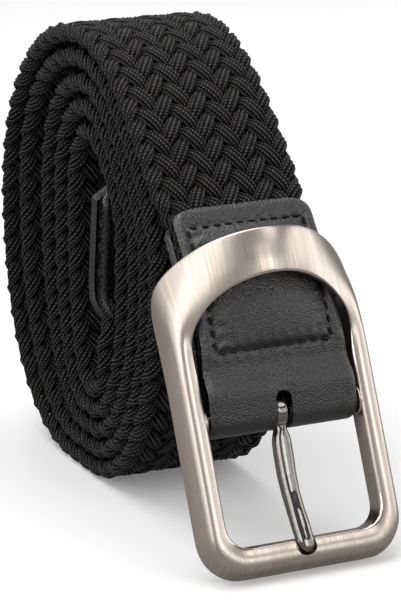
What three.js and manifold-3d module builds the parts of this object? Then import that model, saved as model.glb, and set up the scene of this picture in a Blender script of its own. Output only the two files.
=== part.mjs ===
// Elastic stretch belt, rolled up with its buckle in front. Millimetres, Z up, X across the strap, buckle at -Y.
// The origin is the middle of the roll's flat base.
import * as THREE from "three";
import { mergeVertices } from "three/addons/utils/BufferGeometryUtils.js";
import Module from "manifold-3d";

// braided strap
const strapWidth = 37;
const tuckedWidth = 33;
const strapThick = 4.4;
const layerGap = 0.45;
const edgeRound = 1.1;
const scallopDepth = 0.8;
const scallopPitch = 6.15;

// roll
const rollHeight = 108.3;
const rollBack = 46.9;
const rollFront = 45.7;
const looseBack = 22.5;
const looseFront = 4.4;
const looseTop = 1.9;

// leather
const leatherThick = 1.6;
const leatherGap = 0.35;
const foldHalfWidth = 18.0;
const tabTopHalf = 16.8;
const slotHalfWidth = 2.4;
const slotReach = 4;
const tabCorner = 3.5;
const tipCorner = 8;
const tipWidth = 35;

// buckle, measured from the pin: u across, v down the buckle, n out of its face
const pinY = -71.35;
const pinZ = 32.72;
const buckleLean = 24.5;
const pinRadius = 1.9;
const pinClearance = 0.3;
const pinHalf = 20.6;
const lugRadius = 3.7;
const backDepth = 1.25;
const frontRise = 3.6;
const outerHalf = 25.2;
const creaseHalf = 23.05;
const innerHalf = 18.5;
const outerLow = 35.4;
const creaseLow = 33.8;
const innerLow = 28.1;
const archPlate = 1.6;

// prong
const prongWidth = 3.7;
const prongSide = -0.7;
const eyeOuter = 3.9;
const notchHalf = 2.5;
const notchEnd = 32.3;

// the turns of the roll, from the outermost: how loose each is at the back, top and front (shares of the room that
// looseBack, looseTop and looseFront give), the heights where its straight legs start and end, and its flat at the base
const turns = [
  { back: 0, head: 57, topY: -1.5, top: 0, heel: 5.5, toe: -5.5, kBack: 0.56, kLow: [0.6, 0.62] },
  { back: 0.31, head: 62.3, topY: -3.4, top: 0.27, heel: 3.4, toe: -6.5, kBack: 0.6, kLow: [0.57, 0.6],
    front: 0.05, foot: 59.8, neck: 60, kFoot: 0.605, kTop: [0.34, 0.44] },
  { back: 0.72, head: 63.5, topY: -5, top: 0.64, heel: -2.8, toe: -7.3, kBack: 0.68, kLow: [0.6, 0.565],
    front: 0.25, foot: 52.4, neck: 60.5, kFoot: 0.563, kTop: [0.33, 0.42] },
  { back: 0.87, head: 68, topY: -6.1, top: 0.95, heel: -3.5, toe: -8, kBack: 0.63, kLow: [0.57, 0.65],
    front: 0.5, foot: 51.9, neck: 63.5, kFoot: 0.557, kTop: [0.23, 0.415] },
  { back: 1, head: 66.2, topY: -7.2, top: 1.2, heel: -6.9, toe: -7, kBack: 0.555, kLow: [0.62, 0.61],
    front: 0.97, foot: 46.6, neck: 64, kFoot: 0.532, kTop: [0.38, 0.29] },
];

// path of the strap's end inside the tab, and of its other end inside the tip
const tabRun = [
  { v: -13, n: 0.4 },
  { v: -26, n: 0.9 },
  { v: -36.6, n: -0.46 },
  { v: -46, n: -3.9 },
];
const riseY = -13.8;
const tipBend = { startY: -14.2, startZ: 36, endY: -11, endZ: 48 };
const tipLean = { endY: -13.3, endZ: 69.5 };
const tipTop = { y: -11.9, z: 76.8 };

const wasm = await Module();
wasm.setup();

const v3 = (x, y, z) => new THREE.Vector3(x, y, z);
const lean = THREE.MathUtils.degToRad(buckleLean);
const toYZ = (v, n) => [
  pinY - v * Math.sin(lean) - n * Math.cos(lean),
  pinZ - v * Math.cos(lean) + n * Math.sin(lean),
];
const buckleMatrix = new THREE.Matrix4().set(
  1, 0, 0, 0,
  0, -Math.sin(lean), -Math.cos(lean), pinY,
  0, -Math.cos(lean), Math.sin(lean), pinZ,
  0, 0, 0, 1,
);

function solidOf(geometry) {
  const bare = geometry.clone();
  bare.deleteAttribute("normal");
  bare.deleteAttribute("uv");
  const merged = mergeVertices(bare, 1e-4);
  const triVerts = new Uint32Array(merged.index.array);
  const vertProperties = merged.attributes.position.array;
  return new wasm.Manifold(new wasm.Mesh({ numProp: 3, vertProperties, triVerts }));
}

function geometryOf(solid) {
  const mesh = solid.getMesh();
  const geometry = new THREE.BufferGeometry();
  geometry.setAttribute("position", new THREE.BufferAttribute(new Float32Array(mesh.vertProperties), 3));
  geometry.setIndex(new THREE.BufferAttribute(new Uint32Array(mesh.triVerts), 1));
  return geometry;
}

// joins rings of points in order, capped at both ends, or closed on itself
function loft(rings, closed) {
  const size = rings[0].length;
  const points = rings.flat().flatMap((p) => [p.x, p.y, p.z]);
  const index = [];
  const count = closed ? rings.length : rings.length - 1;
  for (let i = 0; i < count; i++) {
    const a = i * size;
    const b = ((i + 1) % rings.length) * size;
    for (let j = 0; j < size; j++) {
      const k = (j + 1) % size;
      index.push(a + j, b + j, b + k, a + j, b + k, a + k);
    }
  }
  if (!closed) {
    const last = (rings.length - 1) * size;
    for (let j = 1; j < size - 1; j++) {
      index.push(0, j, j + 1);
      index.push(last, last + j + 1, last + j);
    }
  }
  const geometry = new THREE.BufferGeometry();
  geometry.setAttribute("position", new THREE.BufferAttribute(new Float32Array(points), 3));
  geometry.setIndex(index);
  return geometry;
}

// the solid of a closed surface, turned to face out where it faces in
function outward(geometry) {
  const solid = solidOf(geometry);
  if (solid.volume() > 0) return solid;
  const turned = mergeVertices(geometry.deleteAttribute("normal").deleteAttribute("uv"), 1e-4);
  const index = turned.index.array;
  for (let i = 0; i < index.length; i += 3) {
    [index[i + 1], index[i + 2]] = [index[i + 2], index[i + 1]];
  }
  return solidOf(turned);
}

// paths in the Y-Z plane
const point = (y, z) => new THREE.Vector2(y, z);
const bend = (a, b, c, d) => new THREE.CubicBezierCurve(a, b, c, d);

// a quarter turn that leaves along Z and arrives along Y, or the other way round
function quarter(a, b, ka, kb, leavesUp) {
  const first = leavesUp ? point(a.x, a.y + ka * (b.y - a.y)) : point(a.x + ka * (b.x - a.x), a.y);
  const second = leavesUp ? point(b.x + kb * (a.x - b.x), b.y) : point(b.x, b.y + kb * (a.y - b.y));
  return bend(a, first, second, b);
}

const layerPitch = strapThick + layerGap;

function strapPath() {
  const path = new THREE.CurvePath();
  let at = null;
  const add = (curve) => {
    const start = curve.getPoint(0);
    if (at && at.distanceTo(start) > 1e-6) path.add(new THREE.LineCurve(at, start));
    path.add(curve);
    at = curve.getPoint(1);
  };
  const run = tabRun.map((p) => point(...toYZ(p.v, p.n)));
  const mouth = run[3];
  const mouthWay = mouth.clone().sub(run[2]).normalize();
  add(bend(...run));
  let base = null;
  turns.forEach((turn, k) => {
    const top = point(turn.topY, rollHeight - strapThick / 2 - k * layerPitch - looseTop * turn.top);
    const backY = rollBack - strapThick / 2 - k * layerPitch - looseBack * turn.back;
    const baseZ = strapThick / 2 + k * layerPitch;
    if (k === 0) {
      const pull = mouth.clone().addScaledVector(mouthWay, 17);
      add(bend(mouth, pull, point(top.x - 20, top.y), top));
    } else {
      const frontY = -rollFront + strapThick / 2 + (k - 1) * layerPitch + looseFront * turn.front;
      add(quarter(base, point(frontY, turn.foot), turn.kFoot, turn.kFoot, false));
      add(quarter(point(frontY, turn.neck), top, ...turn.kTop, true));
    }
    add(quarter(top, point(backY, turn.head), 0.56, turn.kBack, false));
    add(quarter(point(backY, 57), point(turn.heel, baseZ), ...turn.kLow, true));
    base = point(turn.toe, baseZ);
    if (turn.toe < turn.heel - 0.5) add(new THREE.LineCurve(at, base));
  });
  add(quarter(at, point(riseY, at.y + 6), 0.6, 0.5, false));
  const bendStart = point(tipBend.startY, tipBend.startZ);
  const bendEnd = point(tipBend.endY, tipBend.endZ);
  add(bend(bendStart, point(tipBend.startY - 0.2, 41), point(tipBend.endY - 0.2, 42), bendEnd));
  add(new THREE.LineCurve(bendEnd, point(tipLean.endY, tipLean.endZ)));
  return path;
}

// points and left-hand normals at equal steps along a path
function stations(path, from, to, step) {
  const total = path.getLength();
  const count = Math.max(1, Math.round((to - from) / step));
  const out = [];
  for (let i = 0; i <= count; i++) {
    const s = (from + ((to - from) * i) / count) / total;
    const p = path.getPointAt(s);
    const t = path.getTangentAt(s);
    out.push({ p, side: point(-t.y, t.x), s: (to - from) * (i / count) });
  }
  return out;
}

const lift = (x, p, side, off) => v3(x, p.x + side.x * off, p.y + side.y * off);

function strapSolid(path) {
  path.arcLengthDivisions = 1600;
  const total = path.getLength();
  const smooth = THREE.MathUtils.smoothstep;
  const rings = stations(path, 0, total, scallopPitch / 2).map(({ p, side, s }, i) => {
    // the band is narrower where it is tucked into the tab and the tip
    const open = Math.min(smooth(s, 31, 39), smooth(total - s, 29, 37));
    const wide = (tuckedWidth + (strapWidth - tuckedWidth) * open) / 2;
    const near = wide - (i % 2 ? scallopDepth : 0);
    const far = wide - (i % 2 ? 0 : scallopDepth);
    const half = strapThick / 2;
    return [
      lift(-near, p, side, 0),
      lift(-near + edgeRound, p, side, half),
      lift(far - edgeRound, p, side, half),
      lift(far, p, side, 0),
      lift(far - edgeRound, p, side, -half),
      lift(-near + edgeRound, p, side, -half),
    ];
  });
  return outward(loft(rings, false));
}

// a flat strip of leather along a list of { p, side, half }, its faces at two offsets from the list
function strip(list, low, high) {
  const rings = list.map(({ p, side, half }) => [
    lift(-half, p, side, low),
    lift(half, p, side, low),
    lift(half, p, side, high),
    lift(-half, p, side, high),
  ]);
  return outward(loft(rings, false));
}

// half width of a strip whose end corners are rounded
function roundedHalf(half, corner, distance) {
  if (distance >= corner) return half;
  const d = corner - distance;
  return half - corner + Math.sqrt(Math.max(corner * corner - d * d, 0));
}

function sides(points) {
  return points.map((p, i) => {
    const before = points[Math.max(i - 1, 0)];
    const after = points[Math.min(i + 1, points.length - 1)];
    const t = after.clone().sub(before).normalize();
    return point(-t.y, t.x);
  });
}

// the tab: up the front of the strap's end, round the pin and up its back
function tabSolid(path) {
  const inside = strapThick / 2 + leatherGap;
  const off = inside + leatherThick / 2;
  const tabLength = bend(...tabRun.map((p) => point(...toYZ(p.v, p.n)))).getLength();
  const along = [0, 0.4, 1.4, tabCorner, 8, 13, 18, 23, 28, tabLength];
  const total = path.getLength();
  const leg = along.map((d) => {
    const s = (tabLength - d) / total;
    const t = path.getTangentAt(s);
    return { p: path.getPointAt(s), side: point(-t.y, t.x), d };
  });
  const foldRadius = pinRadius + 0.5 + leatherThick / 2;
  const front = leg.map((q) => ({ ...q, p: q.p.clone().addScaledVector(q.side, off) }));
  const back = leg.map((q) => ({ ...q, p: q.p.clone().addScaledVector(q.side, -off) })).reverse();
  const dip = [point(...toYZ(-9, 3)), point(...toYZ(-5.5, 3.5))];
  const fold = [];
  for (let a = 80; a >= -80; a -= 16) {
    const turn = THREE.MathUtils.degToRad(a);
    fold.push(point(...toYZ(foldRadius * Math.cos(turn), foldRadius * Math.sin(turn))));
  }
  const rear = [point(...toYZ(-5.5, -foldRadius))];
  const middle = [...dip, ...fold, ...rear];
  const points = [...front.map((q) => q.p), ...middle, ...back.map((q) => q.p)];
  const normals = sides(points);
  const list = points.map((p, i) => {
    const fromEnd = Math.min(i, points.length - 1 - i);
    const d = fromEnd < along.length ? along[fromEnd] : tabLength;
    const wide = tabTopHalf + (foldHalfWidth - tabTopHalf) * THREE.MathUtils.smoothstep(d, 22, tabLength + 4);
    return { p, side: normals[i], half: roundedHalf(wide, tabCorner, d) };
  });
  const sheet = strip(list, -leatherThick / 2, leatherThick / 2);
  const slot = new THREE.BoxGeometry(2 * slotHalfWidth, slotReach + 8, 16);
  slot.translate(0.75 * prongSide, (8 - slotReach) / 2, 0);
  slot.applyMatrix4(buckleMatrix);
  return sheet.subtract(outward(slot.toNonIndexed()));
}

// the tip: a layer on each face of the strap's inmost end, pressed together past it
function tipSolid(path) {
  const total = path.getLength();
  const covered = Math.hypot(tipLean.endY - tipBend.endY, tipLean.endZ - tipBend.endZ) + 8;
  const off = strapThick / 2 + leatherGap + leatherThick / 2;
  const pressed = leatherThick / 2 - 0.15;
  const layers = [1, -1].map((sign) => {
    const list = [];
    [0, 0.6, 2, 4.5, tipCorner, 12, 17, 22, 27, covered].forEach((d) => {
      const s = Math.min((total - covered + d) / total, 1);
      const t = path.getTangentAt(s);
      const side = point(-t.y, t.x);
      const p = path.getPointAt(s).addScaledVector(side, sign * off);
      list.push({ p, half: roundedHalf(tipWidth / 2, tipCorner, d) });
    });
    const end = point(tipLean.endY, tipLean.endZ);
    const top = point(tipTop.y, tipTop.z);
    const way = top.clone().sub(end);
    const side = point(-way.y, way.x).normalize();
    [
      { share: 0.12, off: off, half: 0.5 },
      { share: 0.45, off: pressed, half: 0.44 },
      { share: 0.7, off: pressed, half: 0.34 },
      { share: 0.88, off: pressed, half: 0.22 },
      { share: 1, off: pressed, half: 0.1 },
    ].forEach((row) => {
      const p = end.clone().addScaledVector(way, row.share).addScaledVector(side, sign * row.off);
      list.push({ p, half: tipWidth * row.half });
    });
    const normals = sides(list.map((q) => q.p));
    return strip(list.map((q, i) => ({ ...q, side: normals[i] })), -leatherThick / 2, leatherThick / 2);
  });
  return layers[0].add(layers[1]);
}

// one half of the buckle ring, as rings of named points, from the middle of the lower bar to the middle of the arch
function ringHalf() {
  const rows = [];
  const corner = (half, low, radius, turn, n) =>
    v3(half - radius * (1 - Math.sin(turn)), low - radius * (1 - Math.cos(turn)), n);
  const bars = (place) => ({
    edge: place(outerHalf, outerLow, 9.5, -backDepth),
    crease: place(creaseHalf, creaseLow, 8, frontRise),
    dome: place((creaseHalf + innerHalf) / 2 + 0.3, (creaseLow + innerLow) / 2 + 0.2, 6.5, frontRise + 0.7),
    lip: place(innerHalf + 0.45, innerLow + 0.4, 5, frontRise - 0.2),
    heel: place(innerHalf, innerLow, 5, -backDepth),
  });
  rows.push(bars((half, low, radius, n) => v3(0, low, n)));
  rows.push(bars((half, low, radius, n) => v3(notchHalf + 3, low, n)));
  for (let i = 0; i <= 6; i++) {
    const turn = (Math.PI / 2) * (i / 6);
    rows.push(bars((half, low, radius, n) => corner(half, low, radius, turn, n)));
  }
  rows.push(bars((half, low, radius, n) => v3(half, 10, n)));
  rows.push(bars((half, low, radius, n) => v3(half, -4, n)));
  const last = bars((half, low, radius, n) => v3(half, -10, n));
  rows.push(last);
  // the side bars turn into the arch
  const edgeEnd = v3(outerHalf - 0.4, -30.0, -3.6);
  const lipEnd = v3(innerHalf + 1.2, -18.6, 5.6);
  const edgeRun = new THREE.CubicBezierCurve3(last.edge, v3(outerHalf, -16, -1.3), v3(outerHalf, -24, -3.6), edgeEnd);
  const lipRun = new THREE.CubicBezierCurve3(last.lip, v3(innerHalf + 0.45, -14, 3.6), v3(19.4, -17.6, 4.9), lipEnd);
  const edgeArch = new THREE.CubicBezierCurve3(edgeEnd, v3(18.0, -39.1, 6.5), v3(8.3, -39.5, 12.4), v3(0, -39.5, 12.4));
  const lipArch = new THREE.CubicBezierCurve3(lipEnd, v3(14.9, -28.9, 9.1), v3(4.7, -29.1, 13), v3(0, -29.1, 13));
  const blendRow = (edge, lip, share) => {
    const across = lip.clone().sub(edge);
    const radial = v3((edge.x + lip.x) / 2, (edge.y + lip.y) / 2 + 4, 0).normalize();
    const face = radial.multiplyScalar(0.55).add(v3(0, 0, 1)).normalize();
    face.addScaledVector(across, -face.dot(across) / across.lengthSq()).normalize();
    const at = (t, rise) => edge.clone().addScaledVector(across, t).addScaledVector(face, rise);
    const arch = {
      edge: edge.clone(),
      crease: at(0.3, 0.75),
      dome: at(0.68, 0.8),
      lip: lip.clone(),
      heel: at(0.92, -archPlate),
    };
    const side = {
      edge: edge.clone(),
      crease: v3(creaseHalf, (edge.y + lip.y) / 2, Math.max(frontRise, lip.z - 0.3)),
      dome: v3((creaseHalf + innerHalf) / 2 + 0.3, (edge.y + 2 * lip.y) / 3, Math.max(frontRise + 0.7, lip.z)),
      lip: lip.clone(),
      heel: v3(innerHalf, (edge.y + 2 * lip.y) / 3, -backDepth),
    };
    const row = {};
    for (const name of ["edge", "crease", "dome", "lip", "heel"]) row[name] = side[name].lerp(arch[name], share);
    return row;
  };
  for (const t of [0.25, 0.5, 0.75]) rows.push(blendRow(edgeRun.getPoint(t), lipRun.getPoint(t), 0.75 * t * t));
  for (let i = 0; i <= 9; i++) {
    const t = i / 9;
    const share = Math.min(1, 0.5 + 3 * t);
    rows.push(blendRow(edgeArch.getPoint(t), lipArch.getPoint(t), share));
  }
  return rows;
}

function frameSolid() {
  const half = ringHalf();
  const toRing = (row, sign) => [row.edge, row.crease, row.dome, row.lip, row.heel].map((p) => v3(sign * p.x, p.y, p.z));
  const right = half.map((row) => toRing(row, 1));
  const left = half.slice(1, -1).reverse().map((row) => toRing(row, -1));
  let body = outward(loft([...right, ...left], true));
  const along = (radius, from, to) => {
    const rod = new THREE.CylinderGeometry(radius, radius, to - from, 20);
    rod.rotateZ(Math.PI / 2);
    rod.translate((from + to) / 2, 0, 0);
    return outward(rod.toNonIndexed());
  };
  for (const sign of [1, -1]) {
    const inner = sign * (innerHalf + 0.05);
    const outer = sign * (innerHalf + 4.6);
    body = body.add(along(lugRadius, Math.min(inner, outer), Math.max(inner, outer)));
  }
  body = body.subtract(along(pinRadius + pinClearance, -pinHalf - pinClearance, pinHalf + pinClearance));
  const notch = new THREE.BoxGeometry(2 * notchHalf, notchEnd - 24, 6);
  notch.translate(prongSide, (notchEnd + 24) / 2, 1.5 + 3);
  body = body.subtract(outward(notch.toNonIndexed()));
  return body.transform(buckleMatrix.elements);
}

function pinSolid() {
  const rod = new THREE.CylinderGeometry(pinRadius, pinRadius, 2 * pinHalf, 20);
  rod.rotateZ(Math.PI / 2);
  rod.applyMatrix4(buckleMatrix);
  return outward(rod.toNonIndexed());
}

// the prong: an eye on the pin and a rounded shank that rests in the notch of the lower bar
function prongSolid() {
  const round = 18;
  const rings = [];
  for (let i = 0; i < round; i++) {
    const turn = (i / round) * 2 * Math.PI;
    const ring = [
      [pinRadius + 0.4, -1],
      [eyeOuter, -1],
      [eyeOuter, 1],
      [pinRadius + 0.4, 1],
    ].map(([r, side]) => v3(prongSide + (side * prongWidth) / 2, r * Math.cos(turn), r * Math.sin(turn)));
    rings.push(ring);
  }
  const eye = outward(loft(rings, true));
  const shank = [
    { v: 2.9, n: 0.3, side: 0, wide: 1, deep: 0.85 },
    { v: 8, n: 0.5, side: -0.2, wide: 1.05, deep: 1 },
    { v: 14, n: 0.6, side: -0.5, wide: 1.1, deep: 1 },
    { v: 20, n: 1.3, side: -0.4, wide: 1.08, deep: 0.95 },
    { v: 25, n: 2.5, side: -0.3, wide: 1.02, deep: 0.9 },
    { v: 29, n: 3.5, side: -0.3, wide: 0.95, deep: 0.85 },
    { v: 30.8, n: 3.7, side: -0.3, wide: 0.8, deep: 0.7 },
    { v: 31.8, n: 3.7, side: -0.3, wide: 0.4, deep: 0.35 },
  ];
  const shankSides = 12;
  const shankRings = shank.map((row) => {
    const ring = [];
    for (let i = 0; i < shankSides; i++) {
      const turn = ((i + 0.5) / shankSides) * 2 * Math.PI;
      const c = Math.cos(turn);
      const s = Math.sin(turn);
      const x = prongSide + row.side + (prongWidth / 2) * row.wide * Math.sign(c) * Math.abs(c) ** 0.75;
      ring.push(v3(x, row.v, row.n + (prongWidth / 2) * row.deep * Math.sign(s) * Math.abs(s) ** 0.75));
    }
    return ring;
  });
  const bore = new THREE.CylinderGeometry(pinRadius + 0.4, pinRadius + 0.4, prongWidth + 4, 18);
  bore.rotateZ(Math.PI / 2);
  bore.translate(prongSide, 0, 0);
  const whole = eye.add(outward(loft(shankRings, false))).subtract(outward(bore.toNonIndexed()));
  return whole.transform(buckleMatrix.elements);
}

const leather = { color: 0x1b1a1b, roughness: 0.45 };
const metal = { color: 0xb9b2a8, roughness: 0.3, metalness: 1 };
const path = strapPath();
path.arcLengthDivisions = 1600;
const group = new THREE.Group();
const place = (name, solid, look) => {
  const mesh = new THREE.Mesh(geometryOf(solid), new THREE.MeshStandardMaterial(look));
  mesh.name = name;
  group.add(mesh);
};
place("braided_strap", strapSolid(path), { color: 0x2a2829, roughness: 0.9 });
place("leather_tab", tabSolid(path), leather);
place("leather_tip", tipSolid(path), leather);
place("buckle_frame", frameSolid(), metal);
place("bar_pin", pinSolid(), metal);
place("prong", prongSolid(), metal);

export default group;
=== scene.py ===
import bpy
import math
import numpy as np
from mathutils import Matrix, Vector


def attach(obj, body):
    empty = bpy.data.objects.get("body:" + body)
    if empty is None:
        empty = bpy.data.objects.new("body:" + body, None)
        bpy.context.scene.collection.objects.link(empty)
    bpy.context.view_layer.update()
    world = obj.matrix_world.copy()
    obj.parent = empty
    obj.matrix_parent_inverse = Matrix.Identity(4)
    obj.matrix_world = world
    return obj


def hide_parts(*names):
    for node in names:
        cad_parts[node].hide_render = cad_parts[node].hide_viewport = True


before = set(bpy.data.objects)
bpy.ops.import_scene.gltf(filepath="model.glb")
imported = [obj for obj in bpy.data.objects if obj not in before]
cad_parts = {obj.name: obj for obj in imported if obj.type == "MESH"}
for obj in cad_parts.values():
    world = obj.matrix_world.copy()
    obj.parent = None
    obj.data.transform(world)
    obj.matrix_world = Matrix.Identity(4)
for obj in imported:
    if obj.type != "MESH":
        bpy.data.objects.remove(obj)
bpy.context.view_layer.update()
mm = 0.001


def selectOnly(obj):
    bpy.ops.object.select_all(action="DESELECT")
    obj.select_set(True)
    bpy.context.view_layer.objects.active = obj


def vertexPlaces(obj):
    co = np.empty(len(obj.data.vertices) * 3)
    obj.data.vertices.foreach_get("co", co)
    return co.reshape(-1, 3)


def setPlaces(obj, points):
    obj.data.vertices.foreach_set("co", points.ravel())
    obj.data.update()


def applyModifier(obj, name, kind, **settings):
    selectOnly(obj)
    modifier = obj.modifiers.new(name, kind)
    for key, value in settings.items():
        setattr(modifier, key, value)
    bpy.ops.object.modifier_apply(modifier=name)


def faceOut(obj):
    selectOnly(obj)
    bpy.ops.object.mode_set(mode="EDIT")
    bpy.ops.mesh.select_all(action="SELECT")
    bpy.ops.mesh.normals_make_consistent(inside=False)
    bpy.ops.object.mode_set(mode="OBJECT")


bpy.ops.object.select_all(action="DESELECT")
print("belt: frame loaded")

# camera, light and floor
cameraSetup = {
    "location": (-0.27357, -0.60191, 0.23221), "azimuth": 25.632, "elevation": 16.263, "lens": 170.85,
}
bpy.ops.object.camera_add(location=cameraSetup["location"])
camera = bpy.context.active_object
tilt, swing = math.radians(90 - cameraSetup["elevation"]), math.radians(-cameraSetup["azimuth"])
camera.rotation_euler = (tilt, 0, swing)
camera.data.lens = cameraSetup["lens"]
camera.data.sensor_width = 36
camera.data.clip_start = 0.01
bpy.context.scene.camera = camera

studioLights = [
    {"name": "softbox_key", "at": (0.36, -0.5, 0.78), "side": 0.35, "power": 0.7},
    {"name": "softbox_left_front", "at": (-0.68, -0.5, 0.42), "side": 0.5, "power": 1.4},
    {"name": "softbox_left_side", "at": (-0.95, 0.0, 0.45), "side": 0.7, "power": 1.8},
    {"name": "softbox_left_high", "at": (-0.5, -0.3, 0.85), "side": 0.5, "power": 1.5},
    {"name": "softbox_right", "at": (0.95, -0.1, 0.3), "side": 0.5, "power": 1.2},
    {"name": "softbox_right_front", "at": (0.8, -0.5, 0.3), "side": 0.45, "power": 0.6},
    {"name": "softbox_front_right", "at": (0.46, -0.85, 0.34), "side": 0.4, "power": 0.5},
    {"name": "softbox_front", "at": (0.12, -0.88, 0.46), "side": 0.36, "power": 0.9},
    {"name": "softbox_front_left", "at": (-0.2, -0.95, 0.3), "side": 0.45, "power": 0.15},
    {"name": "softbox_back", "at": (0.75, 0.6, 0.4), "side": 0.45, "power": 0.7},
    {"name": "softbox_top", "at": (-0.1, 0.3, 1.1), "side": 1.2, "power": 10.5},
]
lightAim = (0, -0.05, 0.05)
airStrength = 0.17
for light in studioLights:
    bpy.ops.object.light_add(type="AREA", location=light["at"])
    lamp = bpy.context.active_object
    lamp.name = light["name"]
    lamp.data.shape = "RECTANGLE"
    lamp.data.size = lamp.data.size_y = light["side"]
    lamp.data.energy = light["power"]
    way = Vector(lightAim) - Vector(light["at"])
    lamp.rotation_euler = way.to_track_quat("-Z", "Y").to_euler()

world = bpy.data.worlds.new("studio_air")
world.use_nodes = True
air = world.node_tree.nodes["Background"]
air.inputs["Color"].default_value = (1, 1, 1, 1)
air.inputs["Strength"].default_value = airStrength
bpy.context.scene.world = world
bpy.context.scene.view_settings.view_transform = "Standard"

bpy.ops.mesh.primitive_plane_add(size=6, location=(0, 0, 0))
floor = bpy.context.active_object
floor.name = "pale_floor"
print("belt: camera, light and floor")


# shader helpers
def addNode(tree, kind, place, **values):
    node = tree.nodes.new(kind)
    node.location = place
    for name, value in values.items():
        setattr(node, name, value)
    return node


def mathNode(tree, how, first, second=None, place=(0, 0), third=None):
    node = addNode(tree, "ShaderNodeMath", place, operation=how)
    for socket, value in zip(node.inputs, (first, second, third)):
        if value is None:
            continue
        if isinstance(value, (int, float)):
            socket.default_value = value
        else:
            tree.links.new(value, socket)
    return node.outputs[0]


def newGroup(name, inputs, outputs):
    group = bpy.data.node_groups.new(name, "ShaderNodeTree")
    for label, value in inputs.items():
        kind = "NodeSocketVector" if isinstance(value, tuple) else "NodeSocketFloat"
        group.interface.new_socket(label, in_out="INPUT", socket_type=kind).default_value = value
    for label, kind in outputs.items():
        group.interface.new_socket(label, in_out="OUTPUT", socket_type=kind)
    into = addNode(group, "NodeGroupInput", (-900, 0))
    out = addNode(group, "NodeGroupOutput", (900, 0))
    return group, into, out


def useGroup(tree, group, place, **values):
    node = addNode(tree, "ShaderNodeGroup", place, node_tree=group)
    for name, value in values.items():
        socket = node.inputs[name]
        if isinstance(value, (int, float, tuple)):
            socket.default_value = value
        else:
            tree.links.new(value, socket)
    return node


def newMaterial(name, roughness, metallic=0.0, specular=0.5):
    material = bpy.data.materials.new(name)
    material.use_nodes = True
    tree = material.node_tree
    shader = tree.nodes["Principled BSDF"]
    shader.inputs["Roughness"].default_value = roughness
    shader.inputs["Metallic"].default_value = metallic
    shader.inputs["Specular IOR Level"].default_value = specular
    return material, tree, shader


# the floor is white where the camera sees it and darker in what the metal mirrors
floorTone = {"base": (0.16, 0.92), "glow": (0.1, 0.14)}
floorMaterial, floorTree, floorShader = newMaterial("pale_floor_paint", 0.75, specular=0.2)
rays = addNode(floorTree, "ShaderNodeLightPath", (-900, 0))
for place, socket, part in ((200, "Base Color", "base"), (-200, "Emission Strength", "glow")):
    mirrored, seen = floorTone[part]
    tone = mathNode(floorTree, "MULTIPLY_ADD", rays.outputs["Is Camera Ray"], seen - mirrored, (-500, place),
                    third=mirrored)
    floorTree.links.new(tone, floorShader.inputs[socket])
floorShader.inputs["Emission Color"].default_value = (1, 1, 1, 1)
floor.data.materials.append(floorMaterial)

# the strap's path, the same as the CAD's
strap = {
    "width": 35, "thick": 4.4, "gap": 0.45, "height": 108.3, "back": 46.9, "front": 45.7,
    "looseBack": 22.5, "looseFront": 4.4, "looseTop": 1.9,
}
# each turn from the outermost: back, top and front are shares of the loose room, heel, toe, topY, head, foot and
# neck are places, and each k is how far a quarter curve pulls
turns = [
    {"back": 0, "head": 57, "topY": -1.5, "top": 0, "heel": 5.5, "toe": -5.5, "kBack": 0.56,
     "kLow": (0.6, 0.62)},
    {"back": 0.31, "head": 62.3, "topY": -3.4, "top": 0.27, "heel": 3.4, "toe": -6.5, "kBack": 0.6,
     "kLow": (0.57, 0.6), "front": 0.05, "foot": 59.8, "neck": 60, "kFoot": 0.605, "kTop": (0.34, 0.44)},
    {"back": 0.72, "head": 63.5, "topY": -5, "top": 0.64, "heel": -2.8, "toe": -7.3, "kBack": 0.68,
     "kLow": (0.6, 0.565), "front": 0.25, "foot": 52.4, "neck": 60.5, "kFoot": 0.563, "kTop": (0.33, 0.42)},
    {"back": 0.87, "head": 68, "topY": -6.1, "top": 0.95, "heel": -3.5, "toe": -8, "kBack": 0.63,
     "kLow": (0.57, 0.65), "front": 0.5, "foot": 51.9, "neck": 63.5, "kFoot": 0.557, "kTop": (0.23, 0.415)},
    {"back": 1, "head": 66.2, "topY": -7.2, "top": 1.2, "heel": -6.9, "toe": -7, "kBack": 0.555,
     "kLow": (0.62, 0.61), "front": 0.97, "foot": 46.6, "neck": 64, "kFoot": 0.532, "kTop": (0.38, 0.29)},
]
buckleSeat = {"pinY": -71.35, "pinZ": 32.72, "lean": math.radians(24.5)}
tabRun = [(-13, 0.4), (-26, 0.9), (-36.6, -0.46), (-46, -3.9)]
tipBend = {"start": (-14.2, 36), "end": (-11, 48)}
tipLean = (-13.3, 69.5)
riseY = -13.8


def onBuckle(v, n):
    lean = buckleSeat["lean"]
    return (buckleSeat["pinY"] - v * math.sin(lean) - n * math.cos(lean),
            buckleSeat["pinZ"] - v * math.cos(lean) + n * math.sin(lean))


def bezierAt(points, t):
    a, b, c, d = (np.array(p, float) for p in points)
    return (1 - t) ** 3 * a + 3 * t * (1 - t) ** 2 * b + 3 * t * t * (1 - t) * c + t ** 3 * d


def bezier(points, steps=64):
    return bezierAt(points, np.linspace(0, 1, steps + 1)[:, None])


def quarterTurn(a, b, ka, kb, leavesUp):
    if leavesUp:
        return bezier([a, (a[0], a[1] + ka * (b[1] - a[1])), (b[0] + kb * (a[0] - b[0]), b[1]), b])
    return bezier([a, (a[0] + ka * (b[0] - a[0]), a[1]), (b[0], b[1] + kb * (a[1] - b[1])), b])


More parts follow.
